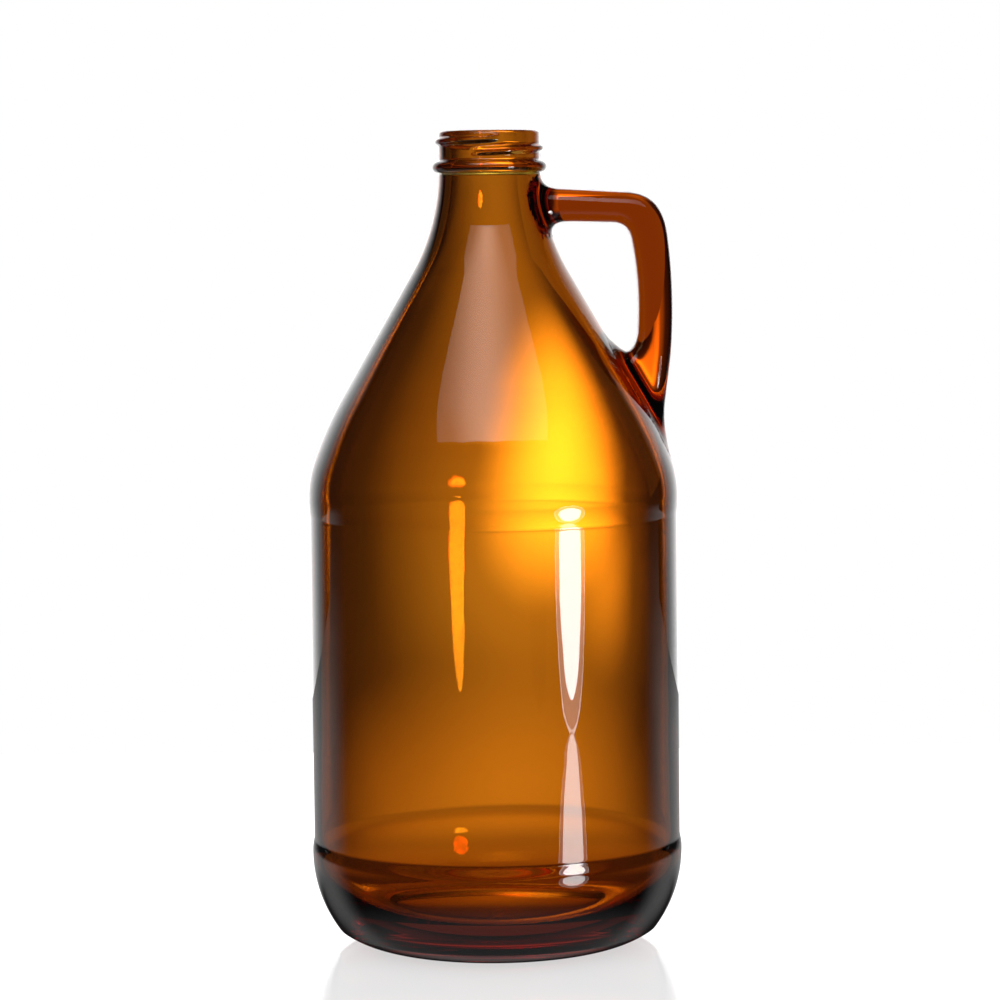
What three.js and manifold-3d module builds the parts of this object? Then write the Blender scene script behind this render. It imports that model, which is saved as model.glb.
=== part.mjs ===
// A half-gallon glass jug with a screw finish and a finger-loop handle.
// The real jug is one moulding. It is split here, on level planes, into the regions that glass
// makers name, so that each is a closed solid of its own.
// Millimetres, +Z up. The origin is the centre of the base, on the plane that the jug stands on,
// and the handle lies in the XZ plane on the +X side.

import * as THREE from 'three';
import { mergeVertices } from 'three/addons/utils/BufferGeometryUtils.js';
import Module from 'manifold-3d';

const wasm = await Module();
wasm.setup();

// ---- Driving dimensions ----

const HEIGHT = 278;
const SIDES = 48;                    // facets round the jug
const DEGREE = Math.PI / 180;

// Finish: the 38 mm screw finish, down to the top of the transfer bead
const BORE_RADIUS = 13.6;
const TUBE_RADIUS = 17.2;
const FINISH_HEIGHT = 10;
const LIP_ROUNDING = 1.1;
const THREAD_PITCH = 25.4 / 6;       // six turns to the inch
const THREAD_RIDGE_RADIUS = 1.3;
const THREAD_SINK = 1.55;            // how far each end sinks, so that the ridge is under the tube
const THREAD_HEIGHT_AT_HANDLE = 272.1;
const THREAD_START = -114 * DEGREE;  // turned about +Z from the handle
const THREAD_END = 286 * DEGREE;
const THREAD_FADE = 24 * DEGREE;     // each end sinks back into the tube over this turn
const THREAD_STEPS = 66;

// Transfer bead
const BEAD_HEIGHT = 4.5;
const BEAD_PROUD = 2.4;

// Neck and shoulder: an inward arc, a straight cone, and two arcs that round the cone over
const NECK_RADIUS = 17.3;
const NECK_ARC_TOP = 265.6;
const NECK_ARC_RADIUS = 70.6;
const CONE_ANGLE = 30.1 * DEGREE;    // from the vertical
const CONE_FOOT_Z = 188.9;
const UPPER_ARC_RADIUS = 135.2;
const BREAK_ANGLE = 19.7 * DEGREE;   // from the vertical, where the two arcs meet
const LOWER_ARC_RADIUS = 40.3;

// Label panel and heel
const PANEL_RADIUS = 63;
const PANEL_FOOT_Z = 36;
const HEEL_RADIUS = 63.65;
const HEEL_ARC_TOP = 31.4;
const HEEL_ARC_RADIUS = 44.3;
const HEEL_ANGLE = 36 * DEGREE;    // from the vertical, where the heel meets the base corner

// Base
const CORNER_RADIUS = 2.5;
const CORNER_ANGLE = 55 * DEGREE;
const UNDERSIDE_ANGLE = 80 * DEGREE;
const BEARING_WIDTH = 3.4;
const PUSH_UP_EDGE_HEIGHT = 1;
const PUSH_UP_HEIGHT = 8;
const FLOOR_EDGE_Z = 9;
const FLOOR_TOP_Z = 13.5;
const FLOOR_CORNER_RADIUS = 22;

// Planes between the regions
const BASE_TOP = 12;
const HEEL_TOP = PANEL_FOOT_Z;
const PANEL_TOP = 147;
const SHOULDER_TOP = 230;
const FINISH_FOOT = HEIGHT - FINISH_HEIGHT;
const BEAD_FOOT = FINISH_FOOT - BEAD_HEIGHT;

// Handle, in the XZ plane
const HANDLE_WIDTH = 15;
const HANDLE_ROUNDING = 5;
const HANDLE_GAP = 0.3;              // clearance between the handle's node and the jug's wall
const ARM_TOP_Z = 258.3;
const ARM_FOOT_Z = 246.9;
const ARM_FILLET = 4.3;              // between the arm and the neck, above the arm
const LOOP_FILLET = 6;               // between the arm and the neck, in the loop
const GRIP_OUTSIDE = 61.9;
const GRIP_INSIDE = 50.2;
const GRIP_MIDDLE_Z = 217.4;
const LOOP_FOOT_Z = 201.8;
const HANDLE_FOOT_Z = 169;           // inside the jug's wall, where the envelope cuts it off

// ---- Outlines ----

const WALL = NECK_RADIUS - BORE_RADIUS;
const NECK_ARC_CENTRE_R = NECK_RADIUS + NECK_ARC_RADIUS;

const coneTopZ = NECK_ARC_TOP - NECK_ARC_RADIUS * Math.sin(CONE_ANGLE);
const coneTopR = NECK_ARC_CENTRE_R - NECK_ARC_RADIUS * Math.cos(CONE_ANGLE);
const coneFootR = coneTopR + (coneTopZ - CONE_FOOT_Z) * Math.tan(CONE_ANGLE);

const upperCentre = {
  r: coneFootR - UPPER_ARC_RADIUS * Math.cos(CONE_ANGLE),
  z: CONE_FOOT_Z - UPPER_ARC_RADIUS * Math.sin(CONE_ANGLE),
};
const lowerCentre = {
  r: upperCentre.r + (UPPER_ARC_RADIUS - LOWER_ARC_RADIUS) * Math.cos(BREAK_ANGLE),
  z: upperCentre.z + (UPPER_ARC_RADIUS - LOWER_ARC_RADIUS) * Math.sin(BREAK_ANGLE),
};

// Height at which a circle of this radius about the centre faces up by the angle.
function heightOnArc(centre, radius, angle) {
  return centre.z + radius * Math.sin(angle);
}

// Radius of the convex side of a circle at height z.
function convexArc(centre, radius, z) {
  return centre.r + Math.sqrt(radius ** 2 - (z - centre.z) ** 2);
}

// Neck and shoulder, moved in by inset along the surface's normal, as a radius at height z.
function shoulderRadius(z, inset) {
  const neckArc = NECK_ARC_RADIUS + inset;
  const coneTop = NECK_ARC_TOP - neckArc * Math.sin(CONE_ANGLE);
  if (z >= NECK_ARC_TOP) {
    return NECK_RADIUS - inset;
  }
  if (z >= coneTop) {
    return NECK_ARC_CENTRE_R - Math.sqrt(neckArc ** 2 - (NECK_ARC_TOP - z) ** 2);
  }
  const upperArc = UPPER_ARC_RADIUS - inset;
  if (z >= heightOnArc(upperCentre, upperArc, CONE_ANGLE)) {
    const coneTopRadius = NECK_ARC_CENTRE_R - neckArc * Math.cos(CONE_ANGLE);
    return coneTopRadius + (coneTop - z) * Math.tan(CONE_ANGLE);
  }
  if (z >= heightOnArc(upperCentre, upperArc, BREAK_ANGLE)) {
    return convexArc(upperCentre, upperArc, z);
  }
  return convexArc(lowerCentre, LOWER_ARC_RADIUS - inset, z);
}

const heelCentre = { r: HEEL_RADIUS - HEEL_ARC_RADIUS, z: HEEL_ARC_TOP };

// The whole outside of the wall, from the top of the base corner to the bead.
function outerRadius(z) {
  if (z >= PANEL_TOP) {
    return Math.max(shoulderRadius(z, 0), z < lowerCentre.z ? PANEL_RADIUS : 0);
  }
  if (z >= PANEL_FOOT_Z) {
    return PANEL_RADIUS;
  }
  if (z >= HEEL_ARC_TOP) {
    const rise = (PANEL_FOOT_Z - z) / (PANEL_FOOT_Z - HEEL_ARC_TOP);
    return PANEL_RADIUS + (HEEL_RADIUS - PANEL_RADIUS) * rise;
  }
  return convexArc(heelCentre, HEEL_ARC_RADIUS, z);
}

// The whole inside of the wall, from the edge of the floor to the mouth.
const floorCorner = {
  r: PANEL_RADIUS - WALL - FLOOR_CORNER_RADIUS,
  z: FLOOR_EDGE_Z + FLOOR_CORNER_RADIUS,
};

function innerRadius(z) {
  if (z >= lowerCentre.z) {
    return Math.min(shoulderRadius(z, WALL), PANEL_RADIUS - WALL);
  }
  if (z >= floorCorner.z) {
    return PANEL_RADIUS - WALL;
  }
  return convexArc(floorCorner, FLOOR_CORNER_RADIUS, z);
}

// ---- Building blocks ----

// Evenly spaced values from one to the other, both included.
function spaced(from, to, steps) {
  return Array.from({ length: steps + 1 }, (_, i) => from + ((to - from) * i) / steps);
}

// Points on a circle, as [radius from the jug's axis, height].
function arcPoints(centre, radius, fromAngle, toAngle, steps) {
  return spaced(fromAngle, toAngle, steps).map((angle) => [
    centre.r + radius * Math.cos(angle),
    centre.z + radius * Math.sin(angle),
  ]);
}

// A solid of revolution about +Z from an outline that runs up its outside.
function turned(outline) {
  const points = outline.map(([r, z]) => new THREE.Vector2(r, z));
  return new THREE.LatheGeometry(points, SIDES).rotateX(Math.PI / 2);
}

// A ring of the wall through these heights, closed on itself.
function wallRing(heights) {
  const outside = heights.map((z) => [outerRadius(z), z]);
  const inside = heights.map((z) => [innerRadius(z), z]).reverse();
  return turned([...outside, ...inside, outside[0]]);
}

function toSolid(geometry) {
  const bare = geometry.clone();
  bare.deleteAttribute('normal');
  bare.deleteAttribute('uv');
  const merged = mergeVertices(bare);
  const mesh = new wasm.Mesh({
    numProp: 3,
    vertProperties: new Float32Array(merged.attributes.position.array),
    triVerts: new Uint32Array(merged.index.array),
  });
  return new wasm.Manifold(mesh);
}

function toGeometry(solid) {
  const mesh = solid.getMesh();
  const geometry = new THREE.BufferGeometry();
  geometry.setAttribute('position', new THREE.BufferAttribute(mesh.vertProperties, 3));
  geometry.setIndex(new THREE.BufferAttribute(mesh.triVerts, 1));
  geometry.computeVertexNormals();
  return geometry;
}

// ---- Regions of the jug ----

// Arc that carries on from an arc's end, turning about a centre nearer to or farther from it.
function nextCentre(centre, radius, nextRadius, angle) {
  return {
    r: centre.r + (radius - nextRadius) * Math.cos(angle),
    z: centre.z + (radius - nextRadius) * Math.sin(angle),
  };
}

// Bearing ring, push-up, floor and the corner under the heel.
function base() {
  const corner = nextCentre(heelCentre, HEEL_ARC_RADIUS, CORNER_RADIUS, -HEEL_ANGLE);
  const cornerFootZ = corner.z - CORNER_RADIUS * Math.sin(CORNER_ANGLE);
  const fall = Math.sin(UNDERSIDE_ANGLE) - Math.sin(CORNER_ANGLE);
  const undersideRadius = cornerFootZ / fall;
  const underside = nextCentre(corner, CORNER_RADIUS, undersideRadius, -CORNER_ANGLE);
  const bearingOutside = underside.r + undersideRadius * Math.cos(UNDERSIDE_ANGLE);
  const bearingInside = bearingOutside - BEARING_WIDTH;
  const pushUpEdge = bearingInside - PUSH_UP_EDGE_HEIGHT;

  const pushUp = spaced(0, pushUpEdge, 6).map((r) => [
    r,
    PUSH_UP_HEIGHT - (PUSH_UP_HEIGHT - PUSH_UP_EDGE_HEIGHT) * (r / pushUpEdge) ** 2,
  ]);
  const bearing = [[bearingInside, 0], [bearingOutside, 0]];
  const undersideArc = arcPoints(underside, undersideRadius, -UNDERSIDE_ANGLE, -CORNER_ANGLE, 4);
  const cornerArc = arcPoints(corner, CORNER_RADIUS, -CORNER_ANGLE, -HEEL_ANGLE, 2);
  const heelFootZ = heightOnArc(heelCentre, HEEL_ARC_RADIUS, -HEEL_ANGLE);
  const heelArc = spaced(heelFootZ, BASE_TOP, 3).map((z) => [outerRadius(z), z]);
  const floorCornerArc = spaced(BASE_TOP, FLOOR_EDGE_Z, 3).map((z) => [innerRadius(z), z]);
  const floor = spaced(floorCorner.r, 0, 5).map((r) => [
    r,
    FLOOR_TOP_Z - (FLOOR_TOP_Z - FLOOR_EDGE_Z) * (r / floorCorner.r) ** 2,
  ]);
  return turned([
    ...pushUp,
    ...bearing,
    ...undersideArc.slice(1),
    ...cornerArc.slice(1),
    ...heelArc.slice(1),
    ...floorCornerArc,
    ...floor.slice(1),
  ]);
}

function heel() {
  return wallRing([...spaced(BASE_TOP, HEEL_ARC_TOP, 6), HEEL_TOP]);
}

function labelPanel() {
  return wallRing(spaced(HEEL_TOP, PANEL_TOP, 3));
}

function shoulder() {
  const roundedPart = spaced(PANEL_TOP, CONE_FOOT_Z, 9);
  return wallRing([...roundedPart, SHOULDER_TOP]);
}

function neck() {
  return wallRing(spaced(SHOULDER_TOP, BEAD_FOOT, 6));
}

function transferBead() {
  const middle = (BEAD_FOOT + FINISH_FOOT) / 2;
  const outside = spaced(-90 * DEGREE, 90 * DEGREE, 8).map((angle) => [
    TUBE_RADIUS + BEAD_PROUD * Math.cos(angle),
    middle + (BEAD_HEIGHT / 2) * Math.sin(angle),
  ]);
  const inside = [[innerRadius(FINISH_FOOT), FINISH_FOOT], [innerRadius(BEAD_FOOT), BEAD_FOOT]];
  return turned([...outside, ...inside, outside[0]]);
}

// The centre line of the thread ridge, which dips into the tube at both ends.
class ThreadCurve extends THREE.Curve {
  getPoint(t, target = new THREE.Vector3()) {
    const angle = THREAD_START + (THREAD_END - THREAD_START) * t;
    const nearestEnd = Math.min(angle - THREAD_START, THREAD_END - angle);
    const fade = THREE.MathUtils.smoothstep(nearestEnd, 0, THREAD_FADE);
    const radius = TUBE_RADIUS - THREAD_SINK * (1 - fade);
    const z = THREAD_HEIGHT_AT_HANDLE + (THREAD_PITCH * angle) / (2 * Math.PI);
    return target.set(radius * Math.cos(angle), radius * Math.sin(angle), z);
  }
}

function threadRidge() {
  const section = new THREE.Shape().absarc(0, 0, THREAD_RIDGE_RADIUS, 0, 2 * Math.PI);
  return new THREE.ExtrudeGeometry(section, {
    steps: THREAD_STEPS,
    curveSegments: 4,
    bevelEnabled: false,
    extrudePath: new ThreadCurve(),
  });
}

// Tube with its rounded lip and the thread ridge.
function threadedFinish() {
  const rounding = LIP_ROUNDING;
  const lipZ = HEIGHT - rounding;
  const outerLip = arcPoints({ r: TUBE_RADIUS - rounding, z: lipZ }, rounding, 0, 90 * DEGREE, 4);
  const innerLip = arcPoints(
    { r: BORE_RADIUS + rounding, z: lipZ }, rounding, 90 * DEGREE, 180 * DEGREE, 4,
  );
  const foot = [TUBE_RADIUS, FINISH_FOOT];
  const outline = [foot, ...outerLip, ...innerLip, [BORE_RADIUS, FINISH_FOOT], foot];
  return toGeometry(toSolid(turned(outline)).add(toSolid(threadRidge())));
}

// The jug's outside as one solid of revolution, moved out by the handle's clearance.
function jugEnvelope() {
  const heights = spaced(PANEL_TOP - 1, BEAD_FOOT, 40);
  const outside = heights.map((z) => [outerRadius(z) + HANDLE_GAP, z]);
  const bead = [[TUBE_RADIUS + BEAD_PROUD, BEAD_FOOT - HANDLE_GAP], [0, FINISH_FOOT]];
  return turned([[0, PANEL_TOP - 1], ...outside.slice(0, -1), ...bead]);
}

// Outer outline of the handle. It runs on inside the jug, where the envelope cuts it off.
function handleShape() {
  const filletX = NECK_RADIUS + HANDLE_GAP + ARM_FILLET;
  const filletZ = ARM_TOP_Z + ARM_FILLET;
  const shape = new THREE.Shape();
  shape.moveTo(0, HANDLE_FOOT_Z);
  shape.lineTo(57, HANDLE_FOOT_Z);
  shape.quadraticCurveTo(59.2, 185.7, 61, 199.3);
  shape.quadraticCurveTo(GRIP_OUTSIDE, 207.5, GRIP_OUTSIDE, GRIP_MIDDLE_Z);
  shape.quadraticCurveTo(GRIP_OUTSIDE, 229.4, 60.6, 240.3);
  shape.bezierCurveTo(59.6, 250.2, 56.1, 256.4, 46.2, 256.8);
  shape.absarc(filletX, filletZ, ARM_FILLET, 270 * DEGREE, 180 * DEGREE, true);
  shape.lineTo(0, filletZ);
  return shape;
}

// The finger loop, whose shoulder side also lies inside the jug.
function fingerLoop() {
  const loop = new THREE.Path();
  loop.moveTo(19.9, 230.3);
  loop.lineTo(19.9, 236.3);
  loop.absarc(29.1, ARM_FOOT_Z - LOOP_FILLET, LOOP_FILLET, 205 * DEGREE, 90 * DEGREE, true);
  loop.lineTo(42.2, 246.5);
  loop.bezierCurveTo(46.2, 246.2, 47.7, 243.2, 48.2, 239.8);
  loop.quadraticCurveTo(GRIP_INSIDE, 229.4, GRIP_INSIDE, GRIP_MIDDLE_Z);
  loop.lineTo(50, 209.5);
  loop.quadraticCurveTo(49.4, 204, 46.1, LOOP_FOOT_Z);
  loop.lineTo(40.7, 203.5);
  loop.lineTo(33.8, 203.5);
  return loop;
}

function handle() {
  const shape = handleShape();
  shape.holes.push(fingerLoop());
  const geometry = new THREE.ExtrudeGeometry(shape, {
    depth: HANDLE_WIDTH - 2 * HANDLE_ROUNDING,
    curveSegments: 8,
    bevelEnabled: true,
    bevelThickness: HANDLE_ROUNDING,
    bevelSize: HANDLE_ROUNDING,
    bevelOffset: -HANDLE_ROUNDING,
    bevelSegments: 4,
  });
  geometry.translate(0, 0, HANDLE_ROUNDING - HANDLE_WIDTH / 2);
  geometry.rotateX(Math.PI / 2);
  return toGeometry(toSolid(geometry).subtract(toSolid(jugEnvelope())));
}

// ---- The jug ----

const AMBER = 0x7a3c08;
const DARK_AMBER = 0x3a1c06;

function region(name, geometry, color) {
  const material = new THREE.MeshStandardMaterial({ color, roughness: 0.05, metalness: 0 });
  const mesh = new THREE.Mesh(geometry, material);
  mesh.name = name;
  return mesh;
}

const jug = new THREE.Group();
jug.add(
  region('base', base(), DARK_AMBER),
  region('heel', heel(), DARK_AMBER),
  region('label_panel', labelPanel(), AMBER),
  region('shoulder', shoulder(), AMBER),
  region('neck', neck(), AMBER),
  region('transfer_bead', transferBead(), AMBER),
  region('threaded_finish', threadedFinish(), AMBER),
  region('handle', handle(), AMBER),
);

export default jug;
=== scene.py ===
"""Looks for the amber glass jug: one clear glass moulding, a pale table and soft studio light.

The jug's sizes are in millimetres and become metres where its meshes are made. The stage is in
metres throughout.
"""

import math

import bpy
import numpy as np
from mathutils import Matrix, Vector


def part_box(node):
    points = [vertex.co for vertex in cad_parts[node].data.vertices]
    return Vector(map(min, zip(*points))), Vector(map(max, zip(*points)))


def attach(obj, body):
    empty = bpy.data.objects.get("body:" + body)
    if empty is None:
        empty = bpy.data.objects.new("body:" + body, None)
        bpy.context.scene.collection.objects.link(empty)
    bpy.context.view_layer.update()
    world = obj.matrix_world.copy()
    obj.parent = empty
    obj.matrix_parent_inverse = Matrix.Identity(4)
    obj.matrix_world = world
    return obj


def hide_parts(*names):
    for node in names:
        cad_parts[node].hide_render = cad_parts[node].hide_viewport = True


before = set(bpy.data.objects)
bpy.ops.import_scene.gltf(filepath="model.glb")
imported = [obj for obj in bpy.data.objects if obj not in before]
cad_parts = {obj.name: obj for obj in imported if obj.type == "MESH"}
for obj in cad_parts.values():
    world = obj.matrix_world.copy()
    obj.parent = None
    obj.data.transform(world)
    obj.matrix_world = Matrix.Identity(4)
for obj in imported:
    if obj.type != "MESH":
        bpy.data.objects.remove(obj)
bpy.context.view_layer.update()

MM = 0.001
NODES = sorted(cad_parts)


def node_top(node):
    """Height of a CAD node's top, in mm."""
    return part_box(node)[1].z / MM


def node_radius(node):
    """Largest reach of a CAD node along +X, in mm."""
    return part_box(node)[1].x / MM


# ---- Sizes that come from the frame ----

HEIGHT = node_top("threaded_finish")
FINISH_FOOT = node_top("transfer_bead")
BEAD_FOOT = node_top("neck")
PANEL_TOP = node_top("label_panel")
PANEL_FOOT = node_top("heel")
PANEL_RADIUS = node_radius("label_panel")
HEEL_RADIUS = node_radius("heel")
BEAD_RADIUS = node_radius("transfer_bead")
HANDLE_WIDTH = 2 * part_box("handle")[1].y / MM

# ---- Sizes that repeat the design's ----

BORE_RADIUS = 13.6
TUBE_RADIUS = 17.2
NECK_RADIUS = 17.3
WALL = NECK_RADIUS - BORE_RADIUS
LIP_ROUNDING = 1.1

THREAD_PITCH = 25.4 / 6
THREAD_PROUD = 1.3
THREAD_HALF_WIDTH = 1.45
THREAD_FULLNESS = 1.25      # over 1, so that the ridge has a flat top
THREAD_HEIGHT_AT_HANDLE = 272.1
THREAD_START = math.radians(-114)
THREAD_END = math.radians(286)
THREAD_FADE = math.radians(24)

NECK_ARC_TOP = 265.6
NECK_ARC_RADIUS = 70.6
CONE_ANGLE = math.radians(30.1)
CONE_FOOT = 188.9
UPPER_ARC_RADIUS = 135.2
BREAK_ANGLE = math.radians(19.7)
LOWER_ARC_RADIUS = 40.3

HEEL_ARC_TOP = 31.4
HEEL_ARC_RADIUS = 44.3
HEEL_ANGLE = math.radians(36)
CORNER_RADIUS = 2.5
CORNER_ANGLE = math.radians(55)
UNDERSIDE_ANGLE = math.radians(80)
BEARING_WIDTH = 3.4
PUSH_UP_HEIGHT = 8.0
FLOOR_EDGE = 9.0
FLOOR_TOP = 13.5
FLOOR_CORNER_RADIUS = 22.0

# ---- Details too fine for the design ----

CREASE = 0.8                # room for the rounded corner at each end of the label panel
SHARP_CREASE = 0.3          # the same where the corner is crisper
BEAD_CREASE = 0.12          # rounding at the foot and the top of the transfer bead
BEAD_CREASE_DEPTH = 0.1
PUSH_UP_EDGE_HEIGHT = 0.9
PUSH_UP_EDGE_WIDTH = 1.6
PUSH_UP_EDGE = [(-1.0, 0.52), (-0.5, 0.2), (0.0, 0.04)]    # from the bearing ring's inner edge

SEAM_PROUD = 0.12
SEAM_HALF_WIDTH = 0.7
SEAM_FOOT = 3.0             # the seam fades in over SEAM_FADE from here up
SEAM_TOP = HEIGHT - 4       # and out again below here
SEAM_FADE = 3.0

WAVE_FADE_TOP = 40.0        # the wall is even at the bead and the floor, uneven this far from them
WAVE_FADE_FOOT = 30.0

COLUMNS = 168
SEAM_COLUMNS = [-0.9, -0.6, -0.4, -0.2, 0.2, 0.4, 0.6, 0.9]    # degrees from a seam


# ---- The jug's outline, as radius and height ----

def step_along(centre, from_radius, to_radius, angle):
    """Centre of the arc that carries on smoothly from another at this angle."""
    shift = from_radius - to_radius
    return centre[0] + shift * math.cos(angle), centre[1] + shift * math.sin(angle)


neck_centre = (NECK_RADIUS + NECK_ARC_RADIUS, NECK_ARC_TOP)
cone_top = (
    neck_centre[0] - NECK_ARC_RADIUS * math.cos(CONE_ANGLE),
    neck_centre[1] - NECK_ARC_RADIUS * math.sin(CONE_ANGLE),
)
cone_foot_radius = cone_top[0] + (cone_top[1] - CONE_FOOT) * math.tan(CONE_ANGLE)
upper_centre = (
    cone_foot_radius - UPPER_ARC_RADIUS * math.cos(CONE_ANGLE),
    CONE_FOOT - UPPER_ARC_RADIUS * math.sin(CONE_ANGLE),
)
lower_centre = step_along(upper_centre, UPPER_ARC_RADIUS, LOWER_ARC_RADIUS, BREAK_ANGLE)
heel_centre = (HEEL_RADIUS - HEEL_ARC_RADIUS, HEEL_ARC_TOP)
corner_centre = step_along(heel_centre, HEEL_ARC_RADIUS, CORNER_RADIUS, -HEEL_ANGLE)
underside_radius = (corner_centre[1] - CORNER_RADIUS * math.sin(CORNER_ANGLE)) / (
    math.sin(UNDERSIDE_ANGLE) - math.sin(CORNER_ANGLE)
)
underside_centre = step_along(corner_centre, CORNER_RADIUS, underside_radius, -CORNER_ANGLE)
floor_centre = (PANEL_RADIUS - WALL - FLOOR_CORNER_RADIUS, FLOOR_EDGE + FLOOR_CORNER_RADIUS)


def arc(centre, radius, start, end, steps):
    """Points on an arc, both ends included."""
    angles = np.linspace(start, end, steps + 1)
    return [(centre[0] + radius * math.cos(a), centre[1] + radius * math.sin(a)) for a in angles]


def line(start, end, steps):
    """Points on a straight line, its start left out."""
    ts = np.linspace(0, 1, steps + 1)[1:]
    return [(start[0] + (end[0] - start[0]) * t, start[1] + (end[1] - start[1]) * t) for t in ts]


def wall_arcs(inset):
    """Shoulder and neck from the panel's crease to the finish, moved in by inset."""
    lower = LOWER_ARC_RADIUS - inset
    upper = UPPER_ARC_RADIUS - inset
    neck = NECK_ARC_RADIUS + inset
    crease_angle = math.asin((PANEL_TOP - lower_centre[1]) / LOWER_ARC_RADIUS)
    start = crease_angle if inset == 0 else 0.0
    points = arc(lower_centre, lower, start, BREAK_ANGLE, 26)
    points += arc(upper_centre, upper, BREAK_ANGLE, CONE_ANGLE, 20)[1:]
    cone_end = (
        neck_centre[0] - neck * math.cos(CONE_ANGLE),
        neck_centre[1] - neck * math.sin(CONE_ANGLE),
    )
    points += line(points[-1], cone_end, 20)
    points += arc(neck_centre, neck, math.pi + CONE_ANGLE, math.pi, 24)[1:]
    return points


def underside_points():
    """Push-up under the floor, from the axis to the bearing ring."""
    bearing_outside = underside_centre[0] + underside_radius * math.cos(UNDERSIDE_ANGLE)
    bearing_inside = bearing_outside - BEARING_WIDTH
    edge = bearing_inside - PUSH_UP_EDGE_WIDTH
    fall = PUSH_UP_HEIGHT - PUSH_UP_EDGE_HEIGHT
    dome = [(r, PUSH_UP_HEIGHT - fall * (r / edge) ** 2) for r in np.linspace(0, edge, 22)]
    rounding = [(bearing_inside + r, z) for r, z in PUSH_UP_EDGE]
    ring = [(r, 0.0) for r in np.linspace(bearing_inside + 0.5, bearing_outside, 5)]
    return dome + rounding + ring


def heel_points():
    """Corner, heel and the small step up to the label panel."""
    points = arc(underside_centre, underside_radius, -UNDERSIDE_ANGLE, -CORNER_ANGLE, 9)[1:]
    points += arc(corner_centre, CORNER_RADIUS, -CORNER_ANGLE, -HEEL_ANGLE, 5)[1:]
    points += arc(heel_centre, HEEL_ARC_RADIUS, -HEEL_ANGLE, 0, 26)[1:]
    step = HEEL_RADIUS - PANEL_RADIUS
    for t in np.linspace(0, 1, 9)[1:]:
        fall = t * t * (1.6 - 0.6 * t)
        points.append((HEEL_RADIUS - step * fall, HEEL_ARC_TOP + (PANEL_FOOT - HEEL_ARC_TOP) * t))
    return points


def bead_points():
    """The transfer bead, a half oval under the finish."""
    middle = (BEAD_FOOT + FINISH_FOOT) / 2
    half = (FINISH_FOOT - BEAD_FOOT) / 2
    points = []
    for angle in np.linspace(-math.pi / 2, math.pi / 2, 19)[1:-1]:
        reach = TUBE_RADIUS + (BEAD_RADIUS - TUBE_RADIUS) * math.cos(angle)
        points.append((reach, middle + half * math.sin(angle)))
    return points


def outside_points():
    """The whole outside, from the middle of the underside to the finish."""
    points = underside_points() + heel_points()
    panel_foot = (PANEL_RADIUS, PANEL_FOOT + CREASE)
    points.append(panel_foot)
    points += line(panel_foot, (PANEL_RADIUS, PANEL_TOP - CREASE), 34)
    points.append((PANEL_RADIUS, PANEL_TOP - SHARP_CREASE))
    points += wall_arcs(0)
    points += line(points[-1], (NECK_RADIUS, BEAD_FOOT - 0.5), 3)
    points.append((NECK_RADIUS + BEAD_CREASE_DEPTH, BEAD_FOOT - BEAD_CREASE))
    points += bead_points()
    points.append((TUBE_RADIUS + BEAD_CREASE_DEPTH, FINISH_FOOT + BEAD_CREASE))
    tube_foot = (TUBE_RADIUS, FINISH_FOOT + SHARP_CREASE)
    points += line(tube_foot, (TUBE_RADIUS, HEIGHT - LIP_ROUNDING), 42)
    return points


def inside_points():
    """The lip and the whole inside, down to the middle of the floor."""
    lip = HEIGHT - LIP_ROUNDING
    points = arc((TUBE_RADIUS - LIP_ROUNDING, lip), LIP_ROUNDING, 0, math.pi / 2, 7)[1:]
    points += arc((BORE_RADIUS + LIP_ROUNDING, lip), LIP_ROUNDING, math.pi / 2, math.pi, 7)
    points += line((BORE_RADIUS, lip), (BORE_RADIUS, NECK_ARC_TOP + 1), 8)
    points += wall_arcs(WALL)[::-2]
    foot = (PANEL_RADIUS - WALL, floor_centre[1])
    points += line((PANEL_RADIUS - WALL, lower_centre[1] - 2), foot, 40)
    points += arc(floor_centre, FLOOR_CORNER_RADIUS, 0, -math.pi / 2, 26)[1:]
    edge = floor_centre[0]
    for r in np.linspace(edge, 0, 16)[1:]:
        points.append((r, FLOOR_TOP - (FLOOR_TOP - FLOOR_EDGE) * (r / edge) ** 2))
    return points


# ---- Details laid over the outline ----

def bump(distance, half_width):
    """Smooth bump, 1 in the middle and 0 from half_width on."""
    t = np.clip(np.abs(distance) / half_width, 0, 1)
    return (1 - t * t) ** 2


def thread_height(angle, z):
    """How proud the screw thread stands of the tube. It winds a little more than one turn."""
    proud = np.zeros(np.broadcast(angle, z).shape)
    for turn in (-1, 0, 1):
        wound = angle + 2 * math.pi * turn
        middle = THREAD_HEIGHT_AT_HANDLE + THREAD_PITCH * wound / (2 * math.pi)
        to_end = np.minimum(wound - THREAD_START, THREAD_END - wound)
        fade = np.clip(to_end / THREAD_FADE, 0, 1)
        fade = fade * fade * (3 - 2 * fade)
        across = np.clip(THREAD_FULLNESS - np.abs(z - middle) / THREAD_HALF_WIDTH, 0, 1)
        ridge = across * across * (3 - 2 * across)
        proud = np.maximum(proud, THREAD_PROUD * fade * ridge)
    return proud


def seam_height(angle, radius):
    """The mould's parting line, in the plane of the handle."""
    off_plane = radius * np.sin(angle)
    return SEAM_PROUD * bump(off_plane, SEAM_HALF_WIDTH)


def wall_wave(angle, z):
    """Uneven thickness of the blown wall, added to the inside: slow waves round it and up it."""
    wave = 0.10 * np.sin(2 * angle + 0.031 * z + 0.4)
    wave = wave + 0.07 * np.sin(3 * angle - 0.052 * z + 2.1)
    wave = wave + 0.05 * np.sin(5 * angle + 0.023 * z + 4.0) * np.sin(0.047 * z)
    return wave + 0.12 * np.sin(0.061 * z + 1.0)


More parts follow.
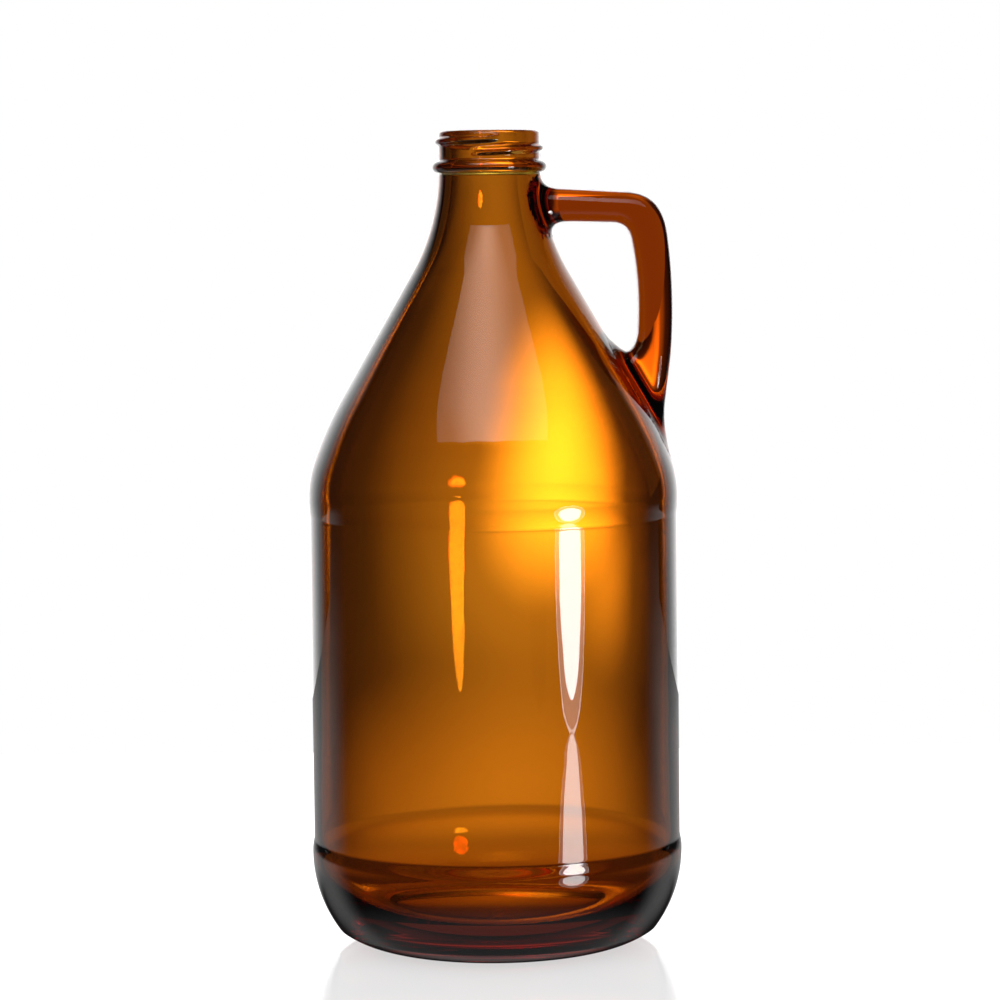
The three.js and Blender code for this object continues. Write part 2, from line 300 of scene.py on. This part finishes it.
def column_angles():
    """Angles round the jug, closer together where the seams are."""
    even = np.arange(COLUMNS) * 2 * math.pi / COLUMNS
    near = np.radians(SEAM_COLUMNS)
    return np.sort(np.concatenate([even, near % (2 * math.pi), near + math.pi]))


def jug_rings():
    """Points of the jug without its handle, as rows round the jug by columns, in mm.

    The first row is next to the axis under the base and the last is next to it on the floor.
    """
    outside = np.array(outside_points())
    inside = np.array(inside_points())
    angles = column_angles()[None, :]
    r_out = outside[1:, 0][:, None]
    z_out = outside[1:, 1][:, None]
    on_tube = (z_out > FINISH_FOOT) & (r_out > TUBE_RADIUS - 0.2)
    r_out = r_out + np.where(on_tube, thread_height(angles, z_out), 0)
    fade_in = np.clip((z_out - SEAM_FOOT) / SEAM_FADE, 0, 1)
    fade_out = np.clip((SEAM_TOP - z_out) / SEAM_FADE, 0, 1)
    r_out = r_out + fade_in * fade_out * seam_height(angles, r_out)
    r_in = inside[:-1, 0][:, None]
    z_in = inside[:-1, 1][:, None]
    below_bead = np.clip((BEAD_FOOT - z_in) / WAVE_FADE_TOP, 0, 1)
    above_floor = np.clip((z_in - FLOOR_EDGE) / WAVE_FADE_FOOT, 0, 1)
    r_in = r_in + below_bead * above_floor * wall_wave(angles, z_in)
    radius = np.vstack([r_out, r_in])
    height = np.vstack([z_out, z_in]) + 0 * angles
    return np.stack([radius * np.cos(angles), radius * np.sin(angles), height], axis=-1)


def jug_surface():
    """Vertices and faces of the jug without its handle, closed on the axis at both ends."""
    rings = jug_rings()
    rows, columns = rings.shape[:2]
    points = rings.reshape(-1, 3).tolist()
    faces = []
    for i in range(rows - 1):
        low, high = i * columns, (i + 1) * columns
        for j in range(columns):
            k = (j + 1) % columns
            faces.append((low + j, low + k, high + k, high + j))
    under_centre = len(points)
    floor_middle = under_centre + 1
    points.append((0, 0, PUSH_UP_HEIGHT))
    points.append((0, 0, FLOOR_TOP))
    last = (rows - 1) * columns
    for j in range(columns):
        k = (j + 1) % columns
        faces.append((under_centre, k, j))
        faces.append((floor_middle, last + j, last + k))
    return points, faces


def mesh_object(name, points, faces):
    """A smooth-shaded object from points in mm."""
    mesh = bpy.data.meshes.new(name)
    mesh.from_pydata((np.array(points) * MM).tolist(), [], faces)
    mesh.validate()
    mesh.shade_smooth()
    thing = bpy.data.objects.new(name, mesh)
    bpy.context.scene.collection.objects.link(thing)
    return thing


# ---- Handle: a solid found as the zero level of a distance field ----

ARM_TOP = 258.3
ARM_FOOT = 246.9
GRIP_OUTSIDE = 61.9
GRIP_INSIDE = 50.2
GRIP_MIDDLE = 217.4
LOOP_FOOT = 201.8
HANDLE_ROUNDING = 5.2
FILLET = 6.0
KEPT_FILLET = 0.93 * FILLET    # the jug's own surface is cut away beyond this from the handle
HANDLE_SINK = 0.6 * WALL       # how deep the handle's mesh goes into the wall
ROOT_X = 5.0                   # the outline runs on inside the jug to here
ROOT_FOOT = 160.0
FIELD_FOOT = 152.0             # the grid starts under the outline
HANDLE_GRID = 0.85
NEAR_SEAM = [0.18, 0.36, 0.55, 0.8, 1.2, 1.8, 2.5]    # grid planes beside the seam


def bezier(a, b, c, d, steps):
    """Points on a cubic curve, its start left out."""
    t = np.linspace(0, 1, steps + 1)[1:, None]
    a, b, c, d = (np.array(p, float) for p in (a, b, c, d))
    return ((1 - t) ** 3 * a + 3 * (1 - t) ** 2 * t * b + 3 * (1 - t) * t * t * c + t ** 3 * d).tolist()


def quadratic(a, b, c, steps):
    """Points on a quadratic curve, its start left out."""
    a, b, c = (np.array(p, float) for p in (a, b, c))
    return bezier(a, a + (b - a) * 2 / 3, c + (b - c) * 2 / 3, c, steps)


def handle_outline():
    """The handle's outer outline in its own plane, as x and z. It runs on inside the jug."""
    points = [(ROOT_X, ROOT_FOOT), (54.6, ROOT_FOOT), (57.0, 169.0)]
    points += quadratic((57, 169), (59.2, 185.7), (61, 199.3), 12)
    points += quadratic((61, 199.3), (GRIP_OUTSIDE, 207.5), (GRIP_OUTSIDE, GRIP_MIDDLE), 12)
    points += quadratic((GRIP_OUTSIDE, GRIP_MIDDLE), (GRIP_OUTSIDE, 229.4), (60.6, 240.3), 12)
    points += bezier((60.6, 240.3), (59.6, 250.2), (56.1, 256.4), (46.2, 256.8), 24)
    points += [(21.9, ARM_TOP), (ROOT_X, ARM_TOP)]
    return points


def loop_outline():
    """The finger loop's outline in the same plane."""
    points = [(12.0, 203.0), (12.0, ARM_FOOT), (29.1, ARM_FOOT), (42.2, 246.5)]
    points += bezier((42.2, 246.5), (46.2, 246.2), (47.7, 243.2), (48.2, 239.8), 20)
    points += quadratic((48.2, 239.8), (GRIP_INSIDE, 229.4), (GRIP_INSIDE, GRIP_MIDDLE), 12)
    points += [(50.0, 209.5)]
    points += quadratic((50.0, 209.5), (49.4, 204.0), (46.1, LOOP_FOOT), 10)
    points += [(40.7, 203.5)]
    return points


def outline_distance(outline, x, z):
    """Signed distance to a closed outline, negative inside."""
    corners = np.array(outline, float)
    nearest = np.full(x.shape, np.inf)
    inside = np.zeros(x.shape, bool)
    for (ax, az), (bx, bz) in zip(corners, np.roll(corners, -1, axis=0)):
        ex, ez = bx - ax, bz - az
        t = np.clip(((x - ax) * ex + (z - az) * ez) / (ex * ex + ez * ez), 0, 1)
        nearest = np.minimum(nearest, (x - ax - t * ex) ** 2 + (z - az - t * ez) ** 2)
        if ez != 0:
            crosses = ((az > z) != (bz > z)) & (x < ax + (z - az) * ex / ez)
            inside ^= crosses
    return np.where(inside, -1, 1) * np.sqrt(nearest)


def handle_plane_distance(x, z):
    """Signed distance to the handle's flat shape: the outline less the loop."""
    outer = outline_distance(handle_outline(), x, z)
    loop = outline_distance(loop_outline(), x, z)
    return np.maximum(outer, -loop)


def handle_distance(flat, y):
    """Signed distance to the handle, from its flat shape's distance: a plate with round edges."""
    rim = flat + HANDLE_ROUNDING
    side = np.abs(y) - (HANDLE_WIDTH / 2 - HANDLE_ROUNDING)
    outside = np.hypot(np.maximum(rim, 0), np.maximum(side, 0))
    body = outside + np.minimum(np.maximum(rim, side), 0) - HANDLE_ROUNDING
    return body - SEAM_PROUD * bump(y, SEAM_HALF_WIDTH)


def jug_distance(x, y, z):
    """Near the surface, the signed distance to the jug's outside above the panel."""
    foot = PANEL_TOP - 30
    top = BEAD_FOOT - 1
    profile = np.array([p for p in outside_points() if foot < p[1] < top])
    profile = np.vstack([profile, (NECK_RADIUS, HEIGHT)])
    radius = np.interp(z, profile[:, 1], profile[:, 0])
    slope = np.interp(z, profile[:, 1], np.gradient(profile[:, 0], profile[:, 1]))
    return (np.hypot(x, y) - radius) / np.sqrt(1 + slope * slope)


def smooth_join(a, b, reach):
    """The lower of two distances, with a fillet where both are near zero."""
    near = np.maximum(reach - np.abs(a - b), 0) / reach
    return np.minimum(a, b) - near * near * reach / 4


def ends_along(axis):
    """Slices that take the lower and the upper end of every grid edge along an axis."""
    low = [slice(None)] * 3
    high = [slice(None)] * 3
    low[axis] = slice(0, -1)
    high[axis] = slice(1, None)
    return tuple(low), tuple(high)


def edge_crossings(values, grids, axis):
    """Which grid edges along an axis cross the zero level, and where they cross it."""
    low, high = ends_along(axis)
    crossed = (values[low] < 0) != (values[high] < 0)
    spread = np.where(crossed, values[low] - values[high], 1)
    t = np.where(crossed, values[low] / spread, 0)
    points = np.stack([g[low] + t * (g[high] - g[low]) for g in grids], axis=-1)
    return crossed, points


def cells_round_edges(values, crossed, axis):
    """The four cells round each crossed edge, in the order that faces the quad outwards."""
    u, v = [a for a in range(3) if a != axis]
    edges = np.argwhere(crossed)
    edges = edges[(edges[:, u] > 0) & (edges[:, v] > 0)]
    edges = edges[(edges[:, u] < values.shape[u] - 1) & (edges[:, v] < values.shape[v] - 1)]
    back_u = np.eye(3, dtype=int)[u]
    back_v = np.eye(3, dtype=int)[v]
    cells = np.stack([edges - back_u - back_v, edges - back_v, edges, edges - back_u], axis=1)
    starts_inside = values[tuple(edges.T)] < 0
    turned = starts_inside if axis == 1 else ~starts_inside
    cells[turned] = cells[turned][:, ::-1]
    return cells


def surface_net(values, xs, ys, zs):
    """Points and quads on the zero level of a field on a grid, one point in each crossed cell."""
    shape = tuple(n - 1 for n in values.shape)
    total = np.zeros(shape + (3,))
    count = np.zeros(shape)
    grids = np.meshgrid(xs, ys, zs, indexing="ij")
    quads = []
    for axis in range(3):
        crossed, crossings = edge_crossings(values, grids, axis)
        u, v = [a for a in range(3) if a != axis]
        for du, dv in ((0, 0), (0, 1), (1, 0), (1, 1)):
            take = [slice(None)] * 3
            take[u] = slice(du, shape[u] + du)
            take[v] = slice(dv, shape[v] + dv)
            mask = crossed[tuple(take)]
            total += np.where(mask[..., None], crossings[tuple(take)], 0)
            count += mask
        quads.append(cells_round_edges(values, crossed, axis))
    cells = np.concatenate(quads)
    used = count > 0
    number = np.full(shape, -1)
    number[used] = np.arange(used.sum())
    points = total[used] / count[used][:, None]
    faces = number[cells[..., 0], cells[..., 1], cells[..., 2]]
    return points, faces.tolist()


def handle_field(x, y, z, flat):
    """The handle with its fillets onto the jug, cut off under the jug's surface."""
    jug = jug_distance(x, y, z)
    bar = handle_distance(flat, y)
    joined = smooth_join(jug, bar, FILLET)
    kept = np.maximum(joined, bar - KEPT_FILLET)
    return np.maximum(kept, -jug - HANDLE_SINK)


def settle(points):
    """Moves points onto the handle field's zero level along its slope."""
    h = 0.05
    longest_move = 0.4
    least_square = 0.25

    def field(p):
        return handle_field(p[:, 0], p[:, 1], p[:, 2], handle_plane_distance(p[:, 0], p[:, 2]))

    here = field(points)
    slopes = [(field(points + h * e) - field(points - h * e)) / (2 * h) for e in np.eye(3)]
    slope = np.stack(slopes, axis=1)
    square = np.maximum((slope ** 2).sum(axis=1), least_square)
    move = here[:, None] * slope / square[:, None]
    return points - np.clip(move, -longest_move, longest_move)


def handle_surface():
    """Vertices and faces of the handle, in mm."""
    xs = np.arange(ROOT_X, GRIP_OUTSIDE + 2, HANDLE_GRID)
    zs = np.arange(FIELD_FOOT, ARM_TOP + 12, HANDLE_GRID)
    beyond = np.arange(NEAR_SEAM[-1] + 0.8, HANDLE_WIDTH / 2 + 8, HANDLE_GRID)
    half = np.concatenate([NEAR_SEAM, beyond])
    ys = np.concatenate([-half[::-1], [0.0], half])
    x2, z2 = np.meshgrid(xs, zs, indexing="ij")
    flat = handle_plane_distance(x2, z2)[:, None, :]
    x, y, z = np.meshgrid(xs, ys, zs, indexing="ij")
    values = handle_field(x, y, z, flat)
    points, faces = surface_net(values, xs, ys, zs)
    for _ in range(4):
        points = settle(points)
    return points, faces


def make_jug():
    """The whole jug as one closed mesh: the turned body joined with the handle."""
    jug = mesh_object("jug_glass", *jug_surface())
    handle = mesh_object("handle_glass", *handle_surface())
    join = jug.modifiers.new("join", "BOOLEAN")
    join.operation = "UNION"
    join.solver = "MANIFOLD"
    join.object = handle
    bpy.context.view_layer.update()
    depsgraph = bpy.context.evaluated_depsgraph_get()
    joined = bpy.data.meshes.new_from_object(jug.evaluated_get(depsgraph))
    jug.modifiers.clear()
    jug.data = joined
    joined.name = "jug_glass"
    joined.shade_smooth()
    bpy.data.objects.remove(handle)
    return jug


# ---- Node helpers ----

def node_material(name):
    """An empty node material and its tree."""
    material = bpy.data.materials.new(name)
    material.use_nodes = True
    material.node_tree.nodes.clear()
    return material, material.node_tree


def calculate(tree, operation, a, b=None):
    """One value made of another, or of two."""
    node = tree.nodes.new("ShaderNodeMath")
    node.operation = operation
    tree.links.new(a, node.inputs[0])
    if b is not None:
        tree.links.new(b, node.inputs[1])
    return node.outputs["Value"]


def ramp(tree, value, reach, levels):
    """A smooth change of level as the value goes through its reach."""
    change = tree.nodes.new("ShaderNodeMapRange")
    change.interpolation_type = "SMOOTHSTEP"
    change.inputs["From Min"].default_value = reach[0]
    change.inputs["From Max"].default_value = reach[1]
    change.inputs["To Min"].default_value = levels[0]
    change.inputs["To Max"].default_value = levels[1]
    tree.links.new(value, change.inputs["Value"])
    return change.outputs["Result"]


# ---- Materials ----

GLASS_IOR = 1.52
SURFACE_TINT = (0.98, 0.84, 0.3)
AMBER = (0.914, 0.555, 0.0)
AMBER_DENSITY = 350.0          # per metre of glass
RIPPLE_SCALE = 45              # moulded ripples are about 20 mm long
RIPPLE_STRENGTH = 0.2
RIPPLE_HEIGHT = 0.0004

NEAR_TABLE = 0.42              # half the side of the table that takes shadows and reflections
FAR_TABLE = 5.0
TABLE_GREY = 0.35
TABLE_ROUGHNESS = 0.08
TABLE_GLOW = 0.6
TABLE_EDGE_GLOW = 0.75


def amber_glass():
    """Clear amber glass: smooth with a faint moulded ripple, its colour held mostly in the volume."""
    material, tree = node_material("amber_glass")
    nodes, links = tree.nodes, tree.links
    output = nodes.new("ShaderNodeOutputMaterial")
    surface = nodes.new("ShaderNodeBsdfPrincipled")
    surface.inputs["Base Color"].default_value = (*SURFACE_TINT, 1)
    surface.inputs["Roughness"].default_value = 0.0
    surface.inputs["IOR"].default_value = GLASS_IOR
    surface.inputs["Transmission Weight"].default_value = 1.0
    volume = nodes.new("ShaderNodeVolumeAbsorption")
    volume.inputs["Color"].default_value = (*AMBER, 1)
    volume.inputs["Density"].default_value = AMBER_DENSITY
    place = nodes.new("ShaderNodeTexCoord")
    ripple = nodes.new("ShaderNodeTexNoise")
    ripple.inputs["Scale"].default_value = RIPPLE_SCALE
    ripple.inputs["Detail"].default_value = 1.0
    ripple.inputs["Roughness"].default_value = 0.4
    relief = nodes.new("ShaderNodeBump")
    relief.inputs["Strength"].default_value = RIPPLE_STRENGTH
    relief.inputs["Distance"].default_value = RIPPLE_HEIGHT
    links.new(place.outputs["Object"], ripple.inputs["Vector"])
    links.new(ripple.outputs["Fac"], relief.inputs["Height"])
    links.new(relief.outputs["Normal"], surface.inputs["Normal"])
    links.new(surface.outputs["BSDF"], output.inputs["Surface"])
    links.new(volume.outputs["Volume"], output.inputs["Volume"])
    return material


def table_top():
    """White, slightly glossy table with a glow that rises towards its edge, where it meets white."""
    material, tree = node_material("table_top")
    nodes, links = tree.nodes, tree.links
    output = nodes.new("ShaderNodeOutputMaterial")
    surface = nodes.new("ShaderNodeBsdfPrincipled")
    surface.inputs["Base Color"].default_value = (TABLE_GREY, TABLE_GREY, TABLE_GREY, 1)
    surface.inputs["Roughness"].default_value = TABLE_ROUGHNESS
    surface.inputs["Emission Color"].default_value = (1, 1, 1, 1)
    place = nodes.new("ShaderNodeTexCoord")
    fit = nodes.new("ShaderNodeMapping")
    fit.inputs["Scale"].default_value = (1 / NEAR_TABLE, 1 / NEAR_TABLE, 1)
    ball = nodes.new("ShaderNodeTexGradient")
    ball.gradient_type = "SPHERICAL"
    links.new(place.outputs["Object"], fit.inputs["Vector"])
    links.new(fit.outputs["Vector"], ball.inputs["Vector"])
    light = ramp(tree, ball.outputs["Fac"], (0.05, 0.6), (TABLE_EDGE_GLOW, TABLE_GLOW))
    links.new(light, surface.inputs["Emission Strength"])
    links.new(surface.outputs["BSDF"], output.inputs["Surface"])
    return material


def soft_spot(tree, place, spot):
    """Level of one soft spot at (x, y) of its card: (x, y, reach_x, reach_y, turn, strength)."""
    x, y, reach_x, reach_y, turn, strength = spot
    fit = tree.nodes.new("ShaderNodeMapping")
    fit.vector_type = "TEXTURE"
    fit.inputs["Location"].default_value = (x, y, 0)
    fit.inputs["Rotation"].default_value = (0, 0, math.radians(turn))
    fit.inputs["Scale"].default_value = (reach_x, reach_y, 1)
    ball = tree.nodes.new("ShaderNodeTexGradient")
    ball.gradient_type = "SPHERICAL"
    tree.links.new(place.outputs["Object"], fit.inputs["Vector"])
    tree.links.new(fit.outputs["Vector"], ball.inputs["Vector"])
    return ramp(tree, ball.outputs["Fac"], (0.0, 1.0), (0.0, strength))


def glow(name, base, spots=()):
    """Light-giving material: an even level plus soft spots."""
    material, tree = node_material(name)
    nodes, links = tree.nodes, tree.links
    output = nodes.new("ShaderNodeOutputMaterial")
    light = nodes.new("ShaderNodeEmission")
    light.inputs["Strength"].default_value = base
    place = nodes.new("ShaderNodeTexCoord")
    total = None
    for spot in spots:
        add = nodes.new("ShaderNodeMath")
        add.operation = "ADD"
        add.inputs[1].default_value = base
        links.new(soft_spot(tree, place, spot), add.inputs[0])
        if total is not None:
            links.new(total, add.inputs[1])
        total = add.outputs["Value"]
    if total is not None:
        links.new(total, light.inputs["Strength"])
    links.new(light.outputs["Emission"], output.inputs["Surface"])
    return material


def glow_across_hollow(name, strength):
    """Light-giving material that shows only in light mirrored once inside the jug."""
    material, tree = node_material(name)
    nodes, links = tree.nodes, tree.links
    output = nodes.new("ShaderNodeOutputMaterial")
    light = nodes.new("ShaderNodeEmission")
    path = nodes.new("ShaderNodeLightPath")
    crossed = nodes.new("ShaderNodeMath")
    crossed.operation = "GREATER_THAN"
    crossed.inputs[1].default_value = 2.5
    once = nodes.new("ShaderNodeMath")
    once.operation = "COMPARE"
    once.inputs[1].default_value = 1.0
    once.inputs[2].default_value = 0.1
    level = nodes.new("ShaderNodeMath")
    level.operation = "MULTIPLY"
    level.inputs[1].default_value = strength
    links.new(path.outputs["Transmission Depth"], crossed.inputs[0])
    links.new(path.outputs["Glossy Depth"], once.inputs[0])
    both = calculate(tree, "MULTIPLY", crossed.outputs["Value"], once.outputs["Value"])
    links.new(both, level.inputs[0])
    links.new(level.outputs["Value"], light.inputs["Strength"])
    links.new(light.outputs["Emission"], output.inputs["Surface"])
    return material


# ---- Camera ----

CAMERA_LENS = 126
CAMERA_SENSOR = 36
CAMERA_DISTANCE = 1.197
CAMERA_HEIGHT = 0.2511
CAMERA_ASIDE = 0.0023
CAMERA_PITCH = math.radians(4.737)
CAMERA_ROLL = math.radians(0.67)


def make_camera():
    """The camera, in front of the jug and a little above its middle."""
    data = bpy.data.cameras.new("camera")
    data.sensor_width = CAMERA_SENSOR
    data.lens = CAMERA_LENS
    data.clip_end = 20
    camera = bpy.data.objects.new("camera", data)
    bpy.context.scene.collection.objects.link(camera)
    tilt = Matrix.Rotation(math.pi / 2 - CAMERA_PITCH, 4, "X")
    roll = Matrix.Rotation(-CAMERA_ROLL, 4, "Z")
    place = Matrix.Translation((CAMERA_ASIDE, -CAMERA_DISTANCE, CAMERA_HEIGHT))
    camera.matrix_world = place @ tilt @ roll
    bpy.context.scene.camera = camera


# ---- Stage pieces ----

def staged(name, points, material, seen_by, place=None):
    """A flat stage piece from its corners, in metres, that only these kinds of ray see."""
    mesh = bpy.data.meshes.new(name)
    mesh.from_pydata(points, [], [tuple(range(len(points)))])
    mesh.materials.append(material)
    thing = bpy.data.objects.new(name, mesh)
    bpy.context.scene.collection.objects.link(thing)
    if place is not None:
        thing.matrix_world = place
    thing.visible_camera = "camera" in seen_by
    thing.visible_diffuse = "diffuse" in seen_by
    thing.visible_glossy = "glossy" in seen_by
    thing.visible_transmission = "transmission" in seen_by
    thing.visible_shadow = False
    return thing


def facing(centre, target):
    """Where a card stands at centre and faces target, its own Y axis up."""
    turn = (Vector(target) - Vector(centre)).to_track_quat("Z", "Y").to_matrix().to_4x4()
    return Matrix.Translation(centre) @ turn


def rectangle(width, height):
    """Corners of a rectangle about its middle."""
    w, h = width / 2, height / 2
    return [(-w, -h, 0), (w, -h, 0), (w, h, 0), (-w, h, 0)]


def oval(half_width, rise, drop):
    """A closed oval about DISH_MIDDLE, its upper and lower halves of different heights."""
    points = []
    for angle in np.linspace(0, 2 * math.pi, 64, endpoint=False):
        height = rise if math.sin(angle) > 0 else drop
        points.append((half_width * math.cos(angle), DISH_MIDDLE + height * math.sin(angle), 0))
    return points


# ---- Backdrops ----

BACKDROP_Y = 0.42
BACKDROP_Z = 0.10
BACKDROP_SIZE = (0.7, 1.2)
BACKDROP_SPOTS = [
    (0.043, 0.045, 0.056, 0.088, -18, 4.3),     # the bright patch behind the shoulder
    (0.070, -0.005, 0.031, 0.072, 0, 0.9),
    (0.022, 0.005, 0.115, 0.170, 0, 0.70),
    (0.006, 0.190, 0.160, 0.085, 0, 0.45),      # behind the neck
    (0.010, 0.125, 0.085, 0.060, 0, 0.22),
    (0.000, -0.117, 0.160, 0.060, 0, 0.50),     # behind the foot of the label panel
    (0.000, -0.190, 0.300, 0.105, 0, 0.36),
    (0.000, -0.300, 0.500, 0.300, 0, 0.07),
    (0.000, 0.000, 0.260, 0.350, 0, 0.10),
]

HANDLE_CARD_Y = 0.075
HANDLE_CARD = [(0.022, 0.235), (0.09, 0.190), (0.25, 0.150), (0.25, 0.450), (0.022, 0.450)]
HANDLE_CARD_LEVEL = 0.34

REFLECTED_Y = 0.6
REFLECTED_Z = 0.40
REFLECTED_SIZE = (1.9, 0.8)
REFLECTED_SPOT = (0, 0, 0.9, 1.4, 0, 2.2)


def make_backdrops():
    """What is seen through the jug and through its handle, and what the glass's edges mirror."""
    place = facing((0, BACKDROP_Y, BACKDROP_Z), (0, -1, BACKDROP_Z))
    light = glow("backdrop_light", 0.0, BACKDROP_SPOTS)
    staged("backdrop_seen_through", rectangle(*BACKDROP_SIZE), light, ("transmission",), place)

    place = Matrix.Translation((0, HANDLE_CARD_Y, 0)) @ Matrix.Rotation(math.pi / 2, 4, "X")
    corners = [(x, z, 0) for x, z in HANDLE_CARD]
    light = glow("card_behind_handle", HANDLE_CARD_LEVEL)
    staged("card_behind_handle", corners, light, ("transmission",), place)

    place = facing((0, REFLECTED_Y, REFLECTED_Z), (0, -1, REFLECTED_Z))
    light = glow("reflected_light", 0.0, [REFLECTED_SPOT])
    staged("backdrop_reflected", rectangle(*REFLECTED_SIZE), light, ("glossy",), place)


# ---- Lights ----

DISH_TURN = math.radians(45.4)
DISH_DISTANCE = 0.572
DISH_MIDDLE = 0.085
TABLE_MIRROR = 0.5             # share of the dish's light that the table mirrors
# Name, half width, height above and below its middle, strength, and how far back it stands
DISH_LAYERS = [
    ("dish_edge", 0.0965, 0.061, 0.087, 8.0, 0.004),
    ("dish_rim", 0.0930, 0.057, 0.0835, 2.2, 0.002),
    ("dish_light", 0.0700, 0.042, 0.0655, 20.0, 0.0),
]

BACK_DISH_TURN = math.radians(26.7)
BACK_DISH_OVAL = (0.056, 0.042, 0.085)
BACK_DISH_STRENGTH = 42.0

SOFT_BOX_HEIGHT = 0.444
SOFT_BOX_FRONT = -0.337
SOFT_BOX_SIDE = [(0.125, -0.322), (0.235, -0.280), (0.210, -0.213), (0.180, -0.150), (0.120, -0.110)]
SOFT_BOX_LEVEL = 0.9
SOFT_BOX_SPOT = (-0.03, -0.25, 0.16, 0.5, 0, 2.4)


def dish_place(turn, distance):
    """Standing on the table, facing the jug from this side."""
    centre = (distance * math.sin(turn), -distance * math.cos(turn), 0)
    return facing(centre, (0, 0, 0))


def make_dish():
    """A dish light in front on the right, and its mirror image in the table."""
    for name, half_width, rise, drop, strength, back in DISH_LAYERS:
        place = dish_place(DISH_TURN, DISH_DISTANCE + back)
        staged(name, oval(half_width, rise, drop), glow(name, strength), ("glossy",), place)
        mirrored = [(x, -y, z) for x, y, z in oval(half_width, rise, DISH_MIDDLE)]
        light = glow(name + "_in_table", strength * TABLE_MIRROR)
        staged(name + "_in_table", mirrored, light, ("glossy",), place)


def make_dish_in_back_wall():
    """The same dish as the inside of the jug's far wall mirrors it."""
    place = dish_place(BACK_DISH_TURN, DISH_DISTANCE)
    light = glow_across_hollow("dish_in_back_wall", BACK_DISH_STRENGTH)
    staged("dish_in_back_wall", oval(*BACK_DISH_OVAL), light, ("transmission",), place)


def make_soft_box():
    """A soft box over the jug, a little in front of it."""
    right = [(x, y, 0) for x, y in SOFT_BOX_SIDE]
    left = [(-x, y, 0) for x, y in SOFT_BOX_SIDE[::-1]]
    outline = [(0, SOFT_BOX_FRONT, 0)] + right + left
    place = Matrix.Translation((0, 0, SOFT_BOX_HEIGHT))
    light = glow("soft_box", SOFT_BOX_LEVEL, [SOFT_BOX_SPOT])
    staged("soft_box", outline, light, ("glossy", "transmission"), place)


# ---- World ----

def mirrored_level(tree, axes):
    """What the glass mirrors, by direction: the table behind it and below it, and dark elsewhere."""
    x, y, z = axes.outputs["X"], axes.outputs["Y"], axes.outputs["Z"]
    aside = calculate(tree, "ABSOLUTE", x)
    low = ramp(tree, z, (-0.08, -0.16), (0.0, 0.4))
    shallow = ramp(tree, z, (-0.2, -0.3), (1.0, 0.0))
    deep = ramp(tree, z, (-0.2, -0.3), (0.0, 1.0))
    beside = ramp(tree, aside, (0.3, 0.75), (0.0, 0.4))
    behind = ramp(tree, y, (0.25, 0.6), (0.0, 1.0))
    steep = ramp(tree, z, (-0.45, -0.8), (0.02, 0.3))
    far_table = calculate(tree, "MULTIPLY", low, shallow)
    side_table = calculate(tree, "MULTIPLY", deep, beside)
    table = calculate(tree, "ADD", far_table, side_table)
    table_behind = calculate(tree, "MULTIPLY", table, behind)
    return calculate(tree, "ADD", table_behind, steep)


def through_level(tree, axes):
    """What shows through the glass past the backdrop: nearly dark behind, brighter in front."""
    down = ramp(tree, axes.outputs["Z"], (-0.1, 0.0), (0.1, 0.06))
    in_front = ramp(tree, axes.outputs["Y"], (-0.35, 0.4), (0.36, 0.0))
    return calculate(tree, "ADD", down, in_front)


def background(tree, level=None):
    """White background at full level or at this one."""
    light = tree.nodes.new("ShaderNodeBackground")
    light.inputs["Color"].default_value = (1, 1, 1, 1)
    light.inputs["Strength"].default_value = 1.0
    if level is not None:
        tree.links.new(level, light.inputs["Strength"])
    return light.outputs["Background"]


def mix(tree, share, without, with_all):
    """Shader that goes from one to the other with the share."""
    node = tree.nodes.new("ShaderNodeMixShader")
    tree.links.new(share, node.inputs["Fac"])
    tree.links.new(without, node.inputs[1])
    tree.links.new(with_all, node.inputs[2])
    return node.outputs["Shader"]


def make_world():
    """White for the camera and for lighting the table, dimmer by direction for the glass.

    Sharp light through glass counts as glossy too, so what shows through is mixed in last.
    """
    world = bpy.data.worlds.new("studio")
    bpy.context.scene.world = world
    world.use_nodes = True
    tree = world.node_tree
    tree.nodes.clear()
    output = tree.nodes.new("ShaderNodeOutputWorld")
    path = tree.nodes.new("ShaderNodeLightPath")
    place = tree.nodes.new("ShaderNodeTexCoord")
    axes = tree.nodes.new("ShaderNodeSeparateXYZ")
    tree.links.new(place.outputs["Generated"], axes.inputs["Vector"])
    mirrored = background(tree, mirrored_level(tree, axes))
    through = background(tree, through_level(tree, axes))
    surroundings = mix(tree, path.outputs["Is Glossy Ray"], background(tree), mirrored)
    surroundings = mix(tree, path.outputs["Is Transmission Ray"], surroundings, through)
    tree.links.new(surroundings, output.inputs["Surface"])


# ---- Table ----

def square(half_side):
    """Corners of a level square about the jug's axis, on the table's plane."""
    n = half_side
    return [(-n, -n, 0), (n, -n, 0), (n, n, 0), (-n, n, 0)]


def make_table():
    """The table under the jug, and four white pieces round it that fill the view."""
    seen_by = ("camera", "diffuse")
    staged("table_near", square(NEAR_TABLE), table_top(), seen_by)
    inner = square(NEAR_TABLE)
    outer = square(FAR_TABLE)
    for i in range(4):
        j = (i + 1) % 4
        name = f"table_far_{i + 1}"
        staged(name, [outer[i], outer[j], inner[j], inner[i]], glow(name, 1.0), seen_by)


def set_light_paths():
    """Enough bounces for light to pass through every wall of the jug, and plain colour."""
    scene = bpy.context.scene
    scene.cycles.max_bounces = 24
    scene.cycles.transmission_bounces = 24
    scene.cycles.glossy_bounces = 12
    scene.view_settings.view_transform = "Standard"


make_camera()
make_world()
make_table()
make_backdrops()
make_dish()
make_dish_in_back_wall()
make_soft_box()
set_light_paths()
jug = make_jug()
jug.data.materials.clear()
jug.data.materials.append(amber_glass())
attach(jug, "root")
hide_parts(*NODES)
